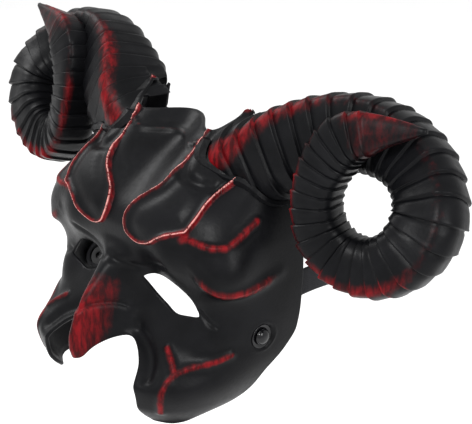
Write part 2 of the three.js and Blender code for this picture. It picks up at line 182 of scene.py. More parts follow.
def smooth_line(points, step=1.2, closed=False):
    """Evenly stepped smooth curve through points."""
    p = np.asarray(points, float)
    p = np.vstack([p[-1:], p, p[:2]]) if closed else np.vstack([2 * p[:1] - p[1], p, 2 * p[-1:] - p[-2]])
    out = []
    for i in range(1, len(p) - 2):
        u = np.linspace(0, 1, 24, endpoint=False)[:, None]
        a, b, c, d = p[i - 1], p[i], p[i + 1], p[i + 2]
        out.append(0.5 * (2 * b + (c - a) * u + (2 * a - 5 * b + 4 * c - d) * u**2
                          + (3 * b - a - 3 * c + d) * u**3))
    out = np.vstack(out + [p[-2:-1]])
    run = np.r_[0, np.cumsum(np.linalg.norm(np.diff(out, axis=0), axis=1))]
    want = np.linspace(0, run[-1], max(int(run[-1] / step), 4) + 1)
    line = np.stack([np.interp(want, run, out[:, c]) for c in range(out.shape[1])], -1)
    return line[:-1] if closed else line


ACROSS = np.linspace(0, 1, 401)


def from_front(line):
    """(x, z) seen from the front to (f, z) on the mask."""
    out = []
    for x, z in line:
        xs = face(ACROSS, np.full_like(ACROSS, z))[:, 0]
        top = int(np.argmax(xs))
        out.append((math.copysign(np.interp(abs(x), xs[:top + 1], ACROSS[:top + 1]), x), z))
    return np.array(out)


def from_round(line):
    """(s, z) with s round the mask from the middle to (f, z)."""
    line = np.asarray(line, float)
    return np.stack([line[:, 0] / np.interp(line[:, 1], HEIGHTS, LENGTHS), line[:, 1]], -1)


def front_line(points, **how):
    return from_front(smooth_line(points, **how))


def round_line(points, **how):
    return from_round(smooth_line(points, **how))


def mirrored(line):
    return np.asarray(line) * [-1, 1]


def distance(points, line):
    """Distance in millimetres from 3-D points to a line of 3-D points."""
    best = np.full(len(points), 1e9)
    for a, b in zip(line[:-1], line[1:]):
        ab = b - a
        t = np.clip(((points - a) @ ab) / max(ab @ ab, 1e-9), 0, 1)
        best = np.minimum(best, np.linalg.norm(points - a - t[:, None] * ab, axis=1))
    return best


def inside(points, loop):
    """Which 2-D points lie in a closed loop."""
    x, y = points[:, 0], points[:, 1]
    hit = np.zeros(len(points), bool)
    for (x0, y0), (x1, y1) in zip(loop, np.roll(loop, -1, axis=0)):
        if y0 != y1:
            hit ^= ((y0 > y) != (y1 > y)) & (x < (x1 - x0) * (y - y0) / (y1 - y0) + x0)
    return hit


def ramp(v, low, high):
    t = np.clip((v - low) / (high - low), 0, 1)
    return t * t * (3 - 2 * t)


# ---------------------------------------------------------------- relief and paint of the mask
def on_face(line):
    return face(line[:, 0], line[:, 1])


def half_lines():
    """The raised and sunk lines of the +X half, as (f, z) lines."""
    branch = front_line(BRANCH)
    tongue = front_line(TONGUE)
    lines = {"tongue": np.vstack([tongue, branch[1:]]), "temple": round_line(TEMPLE),
             "crescent": round_line(CRESCENT), "nostril": round_line(NOSTRIL), "smile": round_line(SMILE),
             "corner": round_line(CORNER), "brow": round_line(BROW_FOLD), "socket": front_line(SOCKET)}
    for i, arm in enumerate(CHEEK):
        lines[f"cheek_{i}"] = round_line(arm)
    return lines


HALF = half_lines()
PANEL = front_line(PANEL_TOP)


def ridge(d, height, half):
    return height * np.exp(-((d / half) ** 2))


def relief(f, z):
    """Fine relief in millimetres, the red paint (red) and a painted highlight (edge) at points of the mask.
    """
    g = np.abs(f)
    at = face(g, z)
    flat = np.stack([g, z], -1)
    d = {name: distance(at, on_face(line)) for name, line in HALF.items()}
    d["panel"] = distance(face(f, z), on_face(PANEL))

    # Each tongue stands above the forehead behind a crisp lip.
    loop = np.vstack([HALF["tongue"], front_line([(65, 60), (66, 74), (54, 88), (46, 89)])])
    depth = np.where(inside(flat, loop), 1, -1) * d["tongue"]
    tall = ramp(at[:, 2], 12, 34)
    away = np.exp(-np.maximum(-depth, 0) / 9)
    lift = np.where(depth > -0.9, ramp(depth, -0.9, 0.7) * (1.2 + 1.6 * tall), 0)
    up = lift - (0.8 + 1.3 * tall) * away * (depth < 0.7) * ramp(depth, 0.7, -0.9)
    up = up + ridge(depth - 0.8, 0.9, 1.1) - ridge(depth - 6, 1.3, 4.5) * ramp(depth, 0.5, 3)
    up = up + ridge(d["socket"], -3.2, 3.4) * (depth > 0)

    # Lines that stand out or are pressed in.
    place = along_line(at, HALF["crescent"])
    fade = ramp(place, 0, 0.25) * ramp(place, 1, 0.75)
    up = up + ridge(d["temple"], 1.7, 2.6) + ridge(d["crescent"], 2.6, 4.2) * (0.35 + 0.65 * fade)
    for i, (height, half) in enumerate(((1.8, 2.6), (1.9, 3.0), (1.6, 2.8))):
        up = np.maximum(up, ridge(d[f"cheek_{i}"], height, half))
    up = up + ridge(d["nostril"], -1.5, 1.8) + ridge(d["smile"], -3.0, 4.5) + ridge(d["corner"], -1.4, 1.6)
    up = up + ridge(d["brow"], -1.6, 2.4) + ridge(d["panel"], 1.2, 1.5)

    # Paint: red where a brush would catch, and a pale painted highlight (edge) along the sharp lips and
    # ridges where the glossy surface would catch the light.
    edge = ridge(depth - 0.7, 1.0, 0.8)
    red = ridge(depth - 0.7, 0.95, 1.9)
    red = np.maximum(red, ridge(d["temple"], 0.95, 2.6))
    red = np.maximum(red, ridge(d["crescent"], 1.0, 3.8) * (0.25 + 0.75 * fade))
    for i in range(3):
        red = np.maximum(red, ridge(d[f"cheek_{i}"], 0.95, 2.4))
    red = np.maximum(red, ridge(d["panel"], 0.45, 1.0))
    node = np.linalg.norm(at - on_face(HALF["temple"][:1]), axis=1)
    red = np.maximum(red, ridge(node, 1.0, 5))
    beak = np.exp(-((at[:, 0] / 11.5) ** 4)) * ramp(at[:, 2], 2, -20) * ramp(at[:, 2], -66, -58)
    red = np.maximum(red, 0.85 * beak)
    # Painted highlight along the crest of the beak.
    crest = np.exp(-((at[:, 0] / 2.2) ** 2)) * ramp(at[:, 2], 0, -16)
    edge = np.maximum(edge, 0.75 * crest)
    for name in ("temple", "cheek_0", "cheek_1", "cheek_2"):
        edge = np.maximum(edge, ridge(d[name], 0.72, 0.7))
    edge = np.maximum(edge, ridge(d["crescent"], 0.78, 1.0) * fade)
    return up, red, edge


def along_line(points, line):
    """Fraction along a line of the nearest of its points, for 3-D points."""
    spots = on_face(line)
    tree = kdtree.KDTree(len(spots))
    for i, p in enumerate(spots):
        tree.insert(p, i)
    tree.balance()
    return np.array([tree.find(p)[1] for p in points]) / (len(spots) - 1)


# ---------------------------------------------------------------- meshes
def new_object(name, points, faces, material, smooth=True):
    """Object from drawing-millimetre points."""
    mesh = bpy.data.meshes.new(name)
    mesh.from_pydata([tuple(p) for p in to_part(points)], [], [tuple(int(i) for i in f) for f in faces])
    mesh.validate()
    mesh.update()
    if smooth:
        mesh.shade_smooth()
    obj = bpy.data.objects.new(name, mesh)
    bpy.context.scene.collection.objects.link(obj)
    if material:
        mesh.materials.append(material)
    return obj


def store(obj, **values):
    """Named per-vertex numbers that the materials read."""
    for name, data in values.items():
        layer = obj.data.attributes.new(name, "FLOAT", "POINT")
        layer.data.foreach_set("value", np.asarray(data, np.float32))


def outline_loops():
    """Outer outline of the mask and its holes, as (f, z) loops."""
    mouth = front_line(MOUTH, step=1.1)
    tip_f = mouth[-1][0]
    foot = np.stack([np.linspace(tip_f, 1, 40), np.full(40, BOTTOM)], -1)[1:-1]
    rear = np.stack([np.ones(120), np.linspace(BOTTOM, CROWN[0][1], 120)], -1)
    crown = front_line(CROWN, step=1.1)
    top = np.stack([np.linspace(1, crown[0][0], 24), np.full(24, CROWN[0][1])], -1)[1:-1]
    half = np.vstack([mouth, foot, rear, top, crown])
    outer = np.vstack([half, mirrored(half)[::-1][1:-1]])
    eye = front_line(EYE, step=1.1, closed=True)
    hole = rivet_circle(2.6, 20)
    return [outer, eye, mirrored(eye)[::-1], hole, mirrored(hole)[::-1]]


def rivet_circle(radius, count):
    """Circle about the rivet's axis as an (f, z) loop."""
    f0 = rivet_fraction()
    slope = (face(f0 + 0.02, RIVET[2]) - face(f0 - 0.02, RIVET[2]))[1] / 0.04
    a = np.linspace(0, 2 * math.pi, count, endpoint=False)
    return np.stack([f0 + np.cos(a) * radius / abs(slope), RIVET[2] + np.sin(a) * radius], -1)


def rivet_fraction():
    ys = face(ACROSS, np.full_like(ACROSS, RIVET[2]))
    side = ys[:, 0] > 70
    return float(np.interp(RIVET[1], ys[side, 1], ACROSS[side]))


def turns_left(loop):
    x, y = loop[:, 0], loop[:, 1]
    return np.sum(x * np.roll(y, -1) - y * np.roll(x, -1)) > 0


def membrane(loops, inner):
    """Triangles between an outer loop and its holes; returns points, triangles and the loops' indices."""
    flat, rows, start = [], [], 0
    for loop in loops:
        flat += [Vector((f * UNROLLED, z)) for f, z in loop]
        rows.append(list(range(start, start + len(loop))))
        start += len(loop)
    faces = [row if turns_left(loop) else row[::-1] for row, loop in zip(rows, loops)]
    flat += [Vector((f * UNROLLED, z)) for f, z in inner]
    verts, _, tris, origin, _, parents = delaunay_2d_cdt(flat, [], faces, 0, 1e-5)
    points = np.array([(v[0] / UNROLLED, v[1]) for v in verts])
    keep = [t for t, p in zip(tris, parents) if list(p) == [0]]
    index = {}
    for out, sources in enumerate(origin):
        for source in sources:
            index[source] = out
    rims = [[index[i] for i in row] for row in rows]
    return points, keep, rims


def fill_points(loops, step, fine=None):
    """Points of an even lattice clear of the loops, with half steps where fine() says so."""
    half = step / 2 if fine else step
    u = np.arange(-UNROLLED + half, UNROLLED, half)
    v = np.arange(BOTTOM + half, 91, half)
    i, j = np.meshgrid(np.arange(len(u)), np.arange(len(v)))
    i, j = i.ravel(), j.ravel()
    pts = np.stack([u[i] / UNROLLED, v[j]], -1)
    if fine:
        keep = ((i % 2 == 0) & (j % 2 == 0)) | fine(pts)
        pts = pts[keep]
    rim = np.vstack(loops)
    tree = kdtree.KDTree(len(rim))
    for k, (f, z) in enumerate(rim):
        tree.insert((f * UNROLLED, z, 0), k)
    tree.balance()
    far = [tree.find((f * UNROLLED, z, 0))[2] > 0.62 * half for f, z in pts]
    return pts[np.array(far)]


def lip_rows(loops):
    """Points in rows beside the lips and ridges, so that the mesh's edges run along them."""
    rows = []
    for name in ("tongue", "temple", "crescent", "cheek_0", "cheek_1", "cheek_2"):
        line = HALF[name] * [UNROLLED, 1]
        run = unit(np.gradient(line, axis=0))
        side = np.stack([-run[:, 1], run[:, 0]], -1)
        for off in (-1.5, -0.9, -0.45, 0, 0.45, 0.9, 1.4, 2.0):
            row = (line + side * off) / [UNROLLED, 1]
            rows += [row, mirrored(row)]
    rows = np.vstack(rows)
    keep = inside(rows, loops[0])
    for hole in loops[1:]:
        keep &= ~inside(rows, hole)
    rim = np.vstack(loops) * [UNROLLED, 1]
    gap = [np.min(np.hypot(*(rim - row).T)) > 0.7 for row in rows * [UNROLLED, 1]]
    return rows[keep & np.array(gap)]


def near_lines(pts):
    """Where the lattice is finer: near the lips and ridges."""
    g = np.abs(pts[:, 0])
    close = np.zeros(len(pts), bool)
    coarse = np.abs(g) < 0.95
    at = face(g[coarse], pts[coarse, 1])
    reach = np.full(len(at), 1e9)
    for name, width in (("tongue", 2.6), ("temple", 2.0), ("crescent", 2.5), ("cheek_0", 2), ("cheek_1", 2),
                        ("cheek_2", 2), ("nostril", 2.0)):
        reach = np.minimum(reach, distance(at, on_face(HALF[name])[::3]) - width)
    close[coarse] = reach < 0
    return close


def seat_recess(points):
    """Presses the flat round recess of each snap cap into the outer face."""
    r = np.hypot(points[:, 1] - RIVET[1], points[:, 2] - RIVET[2])
    side = np.abs(points[:, 0]) > 70
    t = ramp(r, RECESS + 0.5, RECESS - 0.4) * side
    points[:, 0] = points[:, 0] * (1 - t) + np.sign(points[:, 0]) * SEAT_FACE * t
    lip = np.exp(-(((r - RECESS - 1.3) / 0.8) ** 2)) * side
    points[:, 0] += np.sign(points[:, 0]) * 0.5 * lip
    return points


def mask_skin(material):
    loops = outline_loops()
    step = 1.4
    rows = lip_rows(loops)
    lattice = fill_points([*loops, rows], step, near_lines)
    outer_fz, outer_tris, outer_rims = membrane(loops, np.vstack([lattice, rows]))
    inner_fz, inner_tris, inner_rims = membrane(loops, fill_points(loops, 4.0))
    up, red, edge = relief(outer_fz[:, 0], outer_fz[:, 1])
    normal = outward(face, outer_fz[:, 0], outer_fz[:, 1])
    outer = seat_recess(face(outer_fz[:, 0], outer_fz[:, 1]) + normal * up[:, None])
    inner = face_off(inner_fz[:, 0], inner_fz[:, 1], np.full(len(inner_fz), -SHELL))
    points, faces = [outer, inner], [tuple(t) for t in outer_tris]
    faces += [(a + len(outer), c + len(outer), b + len(outer)) for a, b, c in inner_tris]
    count = len(outer) + len(inner)
    for outer_rim, inner_rim in zip(outer_rims, inner_rims):
        a, b = outer[outer_rim], inner[inner_rim]
        n = normal[outer_rim]
        run = unit(np.roll(a, -1, axis=0) - np.roll(a, 1, axis=0))
        away = np.cross(run, n)
        b = a - n * SHELL
        inner[inner_rim] = b + n * 0.4
        bulge = [a - n * 0.55 + away * 0.55, (a + b) / 2 + away * 0.85, b + n * 0.7 + away * 0.55]
        rows = [list(outer_rim)]
        for ring in bulge:
            rows.append(list(range(count, count + len(ring))))
            points.append(ring)
            count += len(ring)
        rows.append([i + len(outer) for i in inner_rim])
        for r0, r1 in zip(rows[:-1], rows[1:]):
            for k in range(len(r0)):
                m = (k + 1) % len(r0)
                faces.append((r0[k], r1[k], r1[m], r0[m]))
    skin = new_object("mask_skin", np.vstack(points), faces, material)
    extra = count - len(outer)
    store(skin, red=np.r_[red, np.zeros(extra)], edge=np.r_[edge, np.zeros(extra)])
    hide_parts("mask_shell")
    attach(skin, "mask")
    return skin


# ---------------------------------------------------------------- horns
COIL = np.array([147.0, -38.0, 57.0])
COIL_AXIS = np.array([0.281, -0.917, 0.284]) / np.linalg.norm([0.281, -0.917, 0.284])
# Middle x, y, z, half size away from the coil's axis, half size along it, place of the keel in degrees.
HORN = np.array([
    [28, -38, 42, 30, 22, 60], [49, -35, 55, 29, 24.5, 58], [71, -30, 67, 26.5, 26, 50],
    [91, -22, 79, 25, 23, 42], [114, -13, 89.5, 22.5, 19, 42], [135.5, -8, 90.5, 21.5, 16.5, 48],
    [158, -8.5, 85, 20.5, 15.5, 56], [176, -14, 73.5, 20, 15.5, 62], [185, -23, 57.5, 20.5, 16, 64],
    [178, -31, 38, 18.5, 16, 60], [160, -36, 25, 17, 15.5, 52], [139, -40.5, 25, 15.5, 15, 45],
    [124.5, -43.5, 36.5, 14, 15, 42], [118.5, -43.5, 53.5, 12.5, 14.5, 40], [119, -41, 69, 13, 13.5, 40],
    [123.5, -37.5, 82.5, 14.5, 12.5, 40], [132.5, -34, 95, 14.5, 11, 38], [146, -30, 101.5, 11.5, 8.5, 35],
    [160, -27.5, 105.5, 7.5, 5.5, 30], [181, -24, 110.5, 1.3, 1.3, 0]], float)
HORN_RUN = np.r_[0, np.cumsum(np.linalg.norm(np.diff(HORN[:, :3], axis=0), axis=1))]
HORN_LENGTH = HORN_RUN[-1]
RINGS, FIRST_RING, LAST_RING = 36, 22.0, 352.0
FIT = 0.8                               # gap between the mask and what stands on it
SEAT, SEAT_LIP = 3.4, 3.0               # thickness of the collar, and how far it stands outside the horn
SEAT_REACH, SEAT_TOP = 75.0, 76.0       # how far along the horn it is drawn, and where it stops upwards


def horn_at(s):
    """Smooth values of the horn's stations at distances s."""
    s = np.clip(s, 0, HORN_LENGTH)
    n = len(HORN)
    i = np.clip(np.searchsorted(HORN_RUN, s, side="left") - 1, 0, n - 2)
    lo, hi = np.maximum(np.arange(n) - 1, 0), np.minimum(np.arange(n) + 1, n - 1)
    tangent = (HORN[hi] - HORN[lo]) / (HORN_RUN[hi] - HORN_RUN[lo])[:, None]
    h = (HORN_RUN[i + 1] - HORN_RUN[i])[:, None]
    u = (s - HORN_RUN[i])[:, None] / h
    return ((2 * u**3 - 3 * u**2 + 1) * HORN[i] + (u**3 - 2 * u**2 + u) * h * tangent[i]
            + (3 * u**2 - 2 * u**3) * HORN[i + 1] + (u**3 - u**2) * h * tangent[i + 1])


def horn_rings(s, grow, around):
    """Rings of points at distances s, each grown by grow (per ring, or per ring and angle)."""
    k = horn_at(s)
    at = k[:, :3]
    t = unit(horn_at(np.minimum(s + 1, HORN_LENGTH))[:, :3] - horn_at(np.maximum(s - 1, 0))[:, :3])
    out = at - COIL
    out = out - np.outer(out @ COIL_AXIS, COIL_AXIS)
    out = unit(out - t * (out * t).sum(-1, keepdims=True))
    side = np.cross(t, out)
    side *= np.where((side @ COIL_AXIS) < 0, -1, 1)[:, None]
    a = np.linspace(0, 2 * math.pi, around, endpoint=False)
    c, d = np.cos(a)[None, :], np.sin(a)[None, :]
    off = np.abs((a[None, :] - np.radians(k[:, 5:6]) + math.pi) % (2 * math.pi) - math.pi)
    r = (np.abs(c) ** 3 + np.abs(d) ** 3) ** (-1 / 3) * (1 + 0.12 * np.exp(-((off / 0.26) ** 1.3)))
    grow = np.broadcast_to(np.asarray(grow, float), r.shape)
    x, y = c * r * (k[:, 3:4] + grow), d * r * (k[:, 4:5] + grow)
    return at[:, None, :] + out[:, None, :] * x[..., None] + side[:, None, :] * y[..., None], off


def tube_faces(rows, around, offset=0):
    faces = []
    for i in range(rows - 1):
        for j in range(around):
            a, b = offset + i * around + j, offset + i * around + (j + 1) % around
            faces.append((a, b, b + around, a + around))
    faces.append(tuple(offset + j for j in reversed(range(around))))
    faces.append(tuple(offset + (rows - 1) * around + j for j in range(around)))
    return faces


def ring_profile():
    """Distances along the horn, height of the growth rings there, and closeness to a ring's free edge."""
    share = np.linspace(0, 1, RINGS + 1)
    ends = FIRST_RING + (LAST_RING - FIRST_RING) * (1.25 * share - 0.25 * share**2)
    shape = [(0.0, -0.55, 0), (0.05, -0.5, 0), (0.14, -0.05, 0), (0.4, 0.25, 0), (0.7, 0.55, 0),
             (0.88, 0.85, 0.25), (0.955, 1.0, 1.0), (0.985, 0.9, 0.8)]
    s, lift, lip = [0, 8, 15], [0, 0, 0], [0, 0, 0]
    for a, b in zip(ends[:-1], ends[1:]):
        for t, h, e in shape:
            s.append(a + (b - a) * t)
            lift.append(h)
            lip.append(e)
    tail = np.linspace(LAST_RING, HORN_LENGTH, 14)
    s += list(tail)
    lift += [0.0] * len(tail)
    lip += [0.0] * len(tail)
    return np.array(s), np.array(lift), np.array(lip)


def horn_mesh(around):
    s, lift, lip = ring_profile()
    size = horn_at(s)[:, 3]
    height = 1.7 * np.clip(size / 24, 0.35, 1.05) * lift
    rng = np.random.default_rng(7)
    waves = rng.uniform(-1, 1, (len(s), 3))
    a = np.linspace(0, 2 * math.pi, around, endpoint=False)
    wobble = sum(waves[:, k:k + 1] * np.cos((k + 2) * a[None, :] + 2.1 * k) for k in range(3)) * 0.12
    points, off = horn_rings(s, height[:, None] + wobble * (s[:, None] > 15), around)
    keel = np.exp(-((off / 0.28) ** 2))
    lips = np.broadcast_to(lip[:, None], off.shape)
    along = np.broadcast_to(s[:, None], off.shape)
    return points.reshape(-1, 3), tube_faces(len(s), around), keel.ravel(), lips.ravel(), along.ravel()


def closed_block(off, rows=60, cols=90, top=80.0):
    """Closed solid of everything inside the mask's outer face moved out by off."""
    behind = 1.5 if off > 0 else 0.0
    f = np.linspace(-1, 1, cols + 1)
    rings = []
    for z in np.linspace(BOTTOM, top, rows + 1):
        ring = face_off(f, np.full_like(f, z), np.full_like(f, off))
        ends = [ring[0] + [0, behind + 0.01, 0], ring[-1] + [0, behind + 0.01, 0]]
        rings.append(np.vstack([ends[:1], ring, ends[1:]]))
    if off > 0:
        rings.append(rings[-1] + [0, 0, 0.6])
    points = np.vstack(rings)
    return points, tube_faces(len(rings), cols + 3)


def box_solid(low, high):
    x, y, z = np.meshgrid(*[(a, b) for a, b in zip(low, high)], indexing="ij")
    points = np.stack([x.ravel(), y.ravel(), z.ravel()], -1)
    return points, [(0, 1, 3, 2), (4, 6, 7, 5), (0, 4, 5, 1), (2, 3, 7, 6), (0, 2, 6, 4), (1, 5, 7, 3)]


def outward_faces(obj):
    """Turns every face to point out of its closed solid."""
    bm = bmesh.new()
    bm.from_mesh(obj.data)
    bmesh.ops.recalc_face_normals(bm, faces=bm.faces)
    bm.to_mesh(obj.data)
    bm.free()
    return obj


def cut(obj, tool, how):
    """Boolean of two closed solids; the tool is used up."""
    mod = obj.modifiers.new("cut", "BOOLEAN")
    mod.operation, mod.object, mod.solver = how, tool, "MANIFOLD"
    graph = bpy.context.evaluated_depsgraph_get()
    mesh = bpy.data.meshes.new_from_object(obj.evaluated_get(graph))
    obj.modifiers.clear()
    old = obj.data
    obj.data = mesh
    bpy.data.meshes.remove(old)
    bpy.data.objects.remove(tool)
    return obj


def solid(name, points, faces):
    return outward_faces(new_object(name, points, faces, None))


def largest_shell(obj):
    """Keeps only the biggest connected piece."""
    bm = bmesh.new()
    bm.from_mesh(obj.data)
    bm.verts.ensure_lookup_table()
    seen, best = set(), []
    for v in bm.verts:
        if v.index in seen:
            continue
        stack, group = [v], []
        seen.add(v.index)
        while stack:
            w = stack.pop()
            group.append(w)
            for e in w.link_edges:
                o = e.other_vert(w)
                if o.index not in seen:
                    seen.add(o.index)
                    stack.append(o)
        if len(group) > len(best):
            best = group
    keep = {v.index for v in best}
    bmesh.ops.delete(bm, geom=[v for v in bm.verts if v.index not in keep], context="VERTS")
    bm.to_mesh(obj.data)
    bm.free()
    return obj


def mirror_copy(obj, name):
    """The same piece on the other side of the face."""
    mesh = obj.data.copy()
    mesh.name = name
    count = len(mesh.vertices)
    co = np.empty(count * 3, np.float32)
    mesh.vertices.foreach_get("co", co)
    co[0::3] *= -1
    mesh.vertices.foreach_set("co", co)
    mesh.flip_normals()
    mesh.update()
    twin = bpy.data.objects.new(name, mesh)
    bpy.context.scene.collection.objects.link(twin)
    return twin


def horn_paint(points, keel, lips, along):
    """Red paint on the root's keel, the front of the coil's foot and the smooth tip; painted highlight on the
    rings' lips and the keel.
    """
    x, z = points[:, 0], points[:, 2]
    foot = ramp(z, 45, 15)
    inner = ramp(x, 122, 108) * ramp(z, 90, 70)
    root = ramp(along, 120, 70)
    tip = ramp(along, LAST_RING - 22, LAST_RING) * ramp(along, HORN_LENGTH, HORN_LENGTH - 8)
    red = keel * (0.35 + 0.5 * root + 0.45 * foot + 0.4 * inner)
    red = np.maximum(red, 0.8 * tip * (0.55 + 0.45 * keel))
    red = np.maximum(red, (lips * 0.9 + 0.35) * foot * np.clip(keel * 1.3 + 0.25, 0, 1))
    # Painted highlight: pale lines along the rings' lips and the keel, strongest at the coil's foot.
    edge = np.maximum(lips * (0.12 + 0.55 * foot + 0.3 * root * keel), keel * (0.2 + 0.3 * foot))
    return np.clip(red, 0, 1), edge


def horns(material):
    around = 72
    points, faces, keel, lips, along = horn_mesh(around)
    left = solid("horn_skin_left", points, faces)
    red, edge = horn_paint(points, keel, lips, along)
    store(left, red=red, edge=edge)
    left = cut(left, solid("tool", *closed_block(FIT)), "DIFFERENCE")
    left = cut(left, solid("tool", *box_solid((-20, -26, 0), (62, 70, 140))), "DIFFERENCE")
    left = largest_shell(left)
    left.data.materials.clear()
    left.data.materials.append(material)
    left.data.shade_smooth()
    right = mirror_copy(left, "horn_skin_right")
    for obj, side in ((left, "left"), (right, "right")):
        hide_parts(f"horn_{side}")
        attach(obj, "mask")



# ---------------------------------------------------------------- seats, rivets and fittings
def both_sides(left, node, slot, *more):
    """Shows a left piece and its mirror image in place of the CAD's pair of nodes."""
    right = mirror_copy(left, left.name.replace("left", "right"))
    for obj, side in ((left, "left"), (right, "right")):
        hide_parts(*[f"{name}_{side}" for name in (node, *more)])
        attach(obj, "mask")


def soften(obj, width, segments=2):
    mod = obj.modifiers.new("edges", "BEVEL")
    mod.width, mod.segments, mod.limit_method, mod.angle_limit = width, segments, "ANGLE", math.radians(40)
    return obj


def horn_seats(material):
    """Raised collar moulded round each horn root."""
    around = 72
    points, _ = horn_rings(np.linspace(0, SEAT_REACH, 30), SEAT_LIP, around)
    collar = solid("horn_collar_left", points.reshape(-1, 3), tube_faces(30, around))
    inner, _ = horn_rings(np.linspace(0, 110, 40), 0.9, around)
    collar = cut(collar, solid("tool", *closed_block(SEAT)), "INTERSECT")
    collar = cut(collar, solid("tool", *closed_block(FIT)), "DIFFERENCE")
    collar = cut(collar, solid("tool", inner.reshape(-1, 3), tube_faces(40, around)), "DIFFERENCE")
    collar = cut(collar, solid("tool", *box_solid((-20, -30, 0), (200, 60, 120))), "DIFFERENCE")
    collar = cut(collar, solid("tool", *box_solid((-20, -140, SEAT_TOP), (200, 60, 140))), "DIFFERENCE")
    collar = largest_shell(collar)
    collar.data.materials.clear()
    collar.data.materials.append(material)
    collar.data.shade_flat()
    soften(collar, 0.0009, 3)
    both_sides(collar, "horn_seat", "seat")


def turned(name, profile, material, around=56):
    """Round piece about the rivet's axis; profile is [radius, x]."""
    a = np.linspace(0, 2 * math.pi, around, endpoint=False)
    points = [(x, RIVET[1] + r * c, RIVET[2] + r * d)
              for r, x in profile for c, d in zip(np.cos(a), np.sin(a))]
    obj = solid(name, points, tube_faces(len(profile), around))
    obj.data.materials.clear()
    obj.data.materials.append(material)
    obj.data.shade_smooth()
    return obj


def snap_caps(material):
    """Domed cap with a rolled rim over a dished ring, on the post that goes through the shell and strap."""
    dome = [(0.15 + 4.7 * math.sin(t), SEAT_FACE + 1.9 + 2.5 * math.cos(t))
            for t in np.linspace(0, math.pi / 2, 12)]
    rim = [(5.1, SEAT_FACE + 1.75), (5.25, SEAT_FACE + 1.6), (5.25, SEAT_FACE + 1.4), (5.05, SEAT_FACE + 1.3)]
    post = [(2.2, SEAT_FACE + 1.3), (2.2, SEAT_FACE - 8.4), (1.9, SEAT_FACE - 8.8), (0.3, SEAT_FACE - 9)]
    both_sides(turned("snap_cap_left", dome + rim + post, material), "rivet_cap", "cap")
    low = SEAT_FACE + 0.2
    ring = [(2.5, low), (7.7, low), (7.9, low + 0.2), (7.9, low + 0.6), (7.7, low + 0.8), (7.2, low + 0.8),
            (6.4, low + 0.55), (2.5, low + 0.55), (2.5, low)]
    both_sides(turned("snap_ring_left", ring, material), "rivet_ring", "cap")


def plain_fittings(steel, plastic):
    """CAD pieces that only need their edges broken and their material."""
    pairs = (("rivet_washer", plastic, 0.00025), ("horn_screw_front", steel, 0.0002),
             ("horn_screw_rear", steel, 0.0002), ("horn_backing_plate", plastic, 0.0004))
    for side in ("left", "right"):
        for node, material, width in pairs:
            dress(bpy.data.objects[f"{node}_{side}"], material, width)
    for node in ("strap_slider", "strap_keeper"):
        dress(bpy.data.objects[node], plastic, 0.0005)


def dress(obj, material, width):
    obj.data.materials.clear()
    obj.data.materials.append(material)
    soften(obj, width)


# ---------------------------------------------------------------- strap and pads
# Middle line of one strap half, from the rivet to the back of the head.
STRAP = [
    (80, -57, -40), (80.2, -47, -30), (81, -36, -21), (82.5, -22, -16.5), (84, 0, -15.5), (83.5, 30, -19),
    (76, 64, -29), (60, 89, -44), (45, 102, -54), (34, 106, -57), (26, 106, -57), (16, 106, -57),
    (6, 106, -57), (-6, 106, -57), (-16, 106, -57), (-26, 106, -57)]
STRAP_WIDTH, STRAP_THICK, LAYER = 18.0, 1.6, 2.0


def webbing_section():
    """Outline of ribbed elastic: across the width and through the thickness, both from -1 to 1."""
    across = np.linspace(-1, 1, 57)
    rib = 0.86 + 0.14 * np.abs(np.cos(across * 14 * math.pi / 2))
    edge = np.sqrt(np.clip(1 - np.abs(across) ** 14, 0.05, 1))
    high = np.stack([across, rib * edge], -1)
    return np.vstack([high, (high * [1, -1])[::-1]])


def strap_half(name, layer, material):
    line = smooth_line(STRAP, step=0.7)
    back = np.clip((60 - line[:, 0]) / 20, 0, 1)
    line[:, 1] += layer * back * back * (3 - 2 * back)
    t = unit(np.gradient(line, axis=0))
    start = np.arange(9, 0, -0.6)[:, None]
    line = np.vstack([line[:1] - t[:1] * start, line])
    t = np.vstack([np.repeat(t[:1], len(start), axis=0), t])
    half = np.full(len(line), STRAP_WIDTH / 2)
    half[:len(start)] = np.sqrt(np.maximum(81 - start[:, 0] ** 2, 4))
    share = np.clip((np.arange(len(line)) - len(start)) / (len(line) - len(start)), 0, 1)
    turn = ramp(share, 0.11, 0.25)[:, None]
    flat = unit(np.stack([t[:, 1], -t[:, 0], 0 * t[:, 0]], -1))
    thick = unit(np.array([[1.0, 0, 0]]) * (1 - turn) + flat * turn)
    wide = unit(np.cross(t, thick))
    thick = unit(np.cross(wide, t))
    pick = 1 + 0.05 * np.cos(np.arange(len(line)) * math.pi)
    section = webbing_section()
    points = (line[:, None, :] + wide[:, None, :] * (section[None, :, 0] * half[:, None])[..., None]
              + thick[:, None, :] * (section[None, :, 1] * pick[:, None] * STRAP_THICK / 2 * 0.95)[..., None])
    obj = solid(name, points.reshape(-1, 3), tube_faces(len(line), len(section)))
    eye = turned("eye", [(2.6, 76), (2.6, 84)], material, 32)
    obj = cut(obj, eye, "DIFFERENCE")
    obj.data.materials.clear()
    obj.data.materials.append(material)
    obj.data.shade_smooth()
    return obj


def straps(material):
    left = strap_half("elastic_left", 0.0, material)
    mirrored_half = strap_half("elastic", LAYER, material)
    right = mirror_copy(mirrored_half, "elastic_right")
    bpy.data.objects.remove(mirrored_half)
    for obj, side in ((left, "left"), (right, "right")):
        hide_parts(f"strap_{side}")
        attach(obj, "strap")


